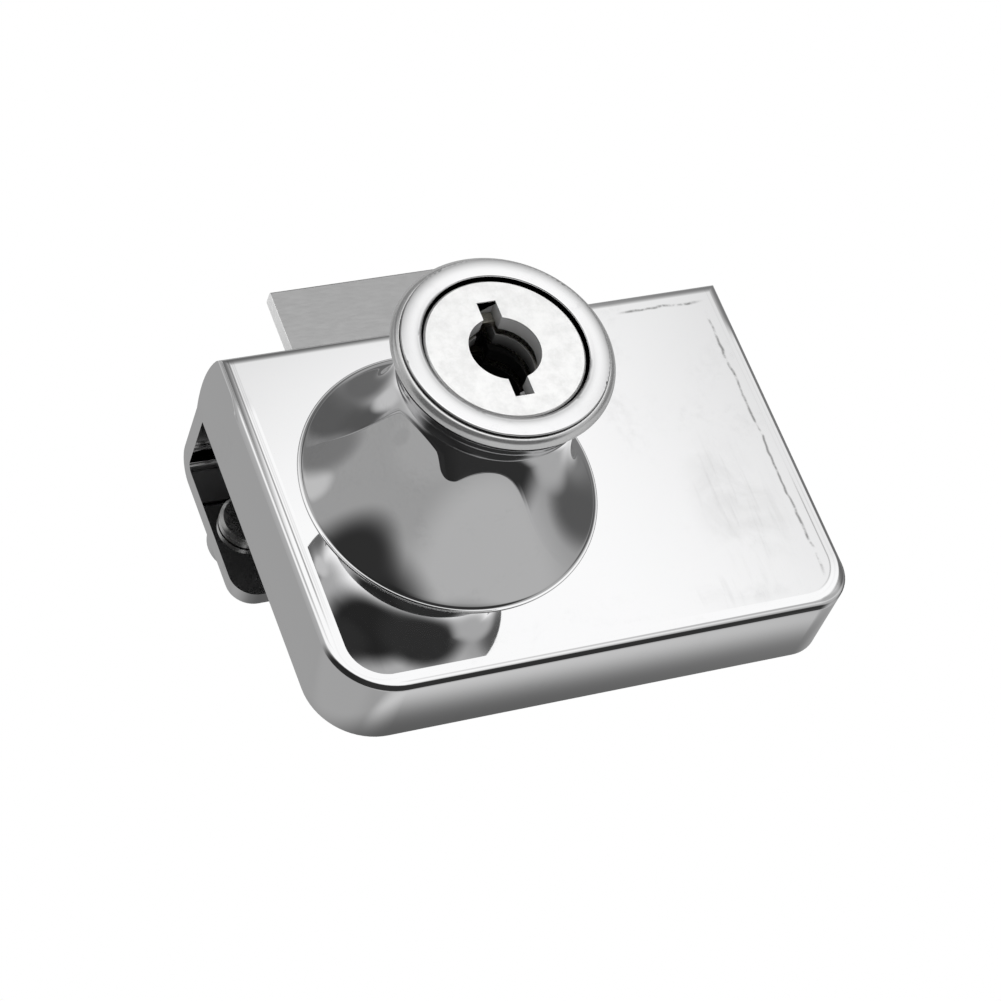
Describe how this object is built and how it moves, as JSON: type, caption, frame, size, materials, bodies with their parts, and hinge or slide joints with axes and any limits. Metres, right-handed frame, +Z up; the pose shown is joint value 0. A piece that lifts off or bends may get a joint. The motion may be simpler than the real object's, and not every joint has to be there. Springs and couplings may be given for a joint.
{
  "type": "clip-on showcase door lock",
  "caption": "Lock that hooks over the edge of a glass showcase door. Clamp screws grip the glass, and the keyed cylinder in its knob turns a crank that throws a flat bolt upwards.",
  "frame": {"origin": "On the knob's axis, in the plane of the housing's rear rim and liner, where the glass rests.", "axes": "+X to the right seen from the front, +Y into the door, +Z up, the way the bolt throws."},
  "size_m": [0.0625, 0.0519, 0.0567],
  "materials": {
    "cast_chrome": "polished chrome on a zinc casting",
    "knob_chrome": "polished chrome",
    "barrel_chrome": "polished chrome",
    "plug_satin": "satin nickel",
    "bolt_steel": "satin",
    "cover_steel": "zinc plated sheet",
    "plated_steel": "zinc plated",
    "pad_steel": "nickel plated",
    "spring_steel": "bright wire",
    "wafer_brass": "stamped",
    "nut_brass": "nickel plated",
    "liner_rubber": "matte"
  },
  "bodies": {
    "body": {"housing": "cast_chrome", "back_cover": "cover_steel", "cover_screws": "plated_steel", "glass_liner": "liner_rubber", "knob": "knob_chrome", "lock_barrel": "barrel_chrome", "barrel_nut": "nut_brass"},
    "cylinder": {"plug": "plug_satin", "crank": "plated_steel", "crank_screw": "plated_steel", "wafer_spring_1": "spring_steel", "wafer_spring_2": "spring_steel", "wafer_spring_3": "spring_steel", "wafer_spring_4": "spring_steel", "wafer_spring_5": "spring_steel"},
    "bolt": {"bolt": "bolt_steel"},
    "wafer_1": {"wafer_1": "wafer_brass"},
    "wafer_2": {"wafer_2": "wafer_brass"},
    "wafer_3": {"wafer_3": "wafer_brass"},
    "wafer_4": {"wafer_4": "wafer_brass"},
    "wafer_5": {"wafer_5": "wafer_brass"},
    "left_pad": {"pressure_pad_left": "pad_steel"},
    "left_screw": {"clamp_screw_left": "plated_steel"},
    "right_pad": {"pressure_pad_right": "pad_steel"},
    "right_screw": {"clamp_screw_right": "plated_steel"}
  },
  "joints": [
    {"name": "bolt_slide", "type": "slide", "parent": "body", "child": "bolt", "axis": [0, 0, 1], "range_m": [-0.0109, 0]},
    {"name": "plug_turn", "type": "hinge", "parent": "body", "child": "cylinder", "pos_m": [0, 0, 0], "axis": [0, 1, 0], "range_deg": [0, 180]},
    {"name": "wafer_1_slide", "type": "slide", "parent": "cylinder", "child": "wafer_1", "axis": [0, 0, 1], "range_m": [0, 0.0007], "deforming": ["wafer_spring_1"]},
    {"name": "wafer_2_slide", "type": "slide", "parent": "cylinder", "child": "wafer_2", "axis": [0, 0, -1], "range_m": [0, 0.0007], "deforming": ["wafer_spring_2"]},
    {"name": "wafer_3_slide", "type": "slide", "parent": "cylinder", "child": "wafer_3", "axis": [0, 0, 1], "range_m": [0, 0.0007], "deforming": ["wafer_spring_3"]},
    {"name": "wafer_4_slide", "type": "slide", "parent": "cylinder", "child": "wafer_4", "axis": [0, 0, -1], "range_m": [0, 0.0007], "deforming": ["wafer_spring_4"]},
    {"name": "wafer_5_slide", "type": "slide", "parent": "cylinder", "child": "wafer_5", "axis": [0, 0, 1], "range_m": [0, 0.0007], "deforming": ["wafer_spring_5"]},
    {"name": "left_pad_slide", "type": "slide", "parent": "body", "child": "left_pad", "axis": [0, -1, 0], "range_m": [0, 0.0035]},
    {"name": "left_screw_spin", "type": "hinge", "parent": "left_pad", "child": "left_screw", "pos_m": [-0.0162, 0, 0.0106], "axis": [0, -1, 0], "range_deg": [0, 1575.2]},
    {"name": "right_pad_slide", "type": "slide", "parent": "body", "child": "right_pad", "axis": [0, -1, 0], "range_m": [0, 0.0035]},
    {"name": "right_screw_spin", "type": "hinge", "parent": "right_pad", "child": "right_screw", "pos_m": [0.0375, 0, 0.0106], "axis": [0, -1, 0], "range_deg": [0, 1575.2]}
  ],
  "couplings": [
    {"joint": "plug_turn", "follows": "bolt_slide", "rad_per_m": -288.2},
    {"joint": "left_screw_spin", "follows": "left_pad_slide", "rad_per_m": 7854},
    {"joint": "right_screw_spin", "follows": "right_pad_slide", "rad_per_m": 7854}
  ]
}
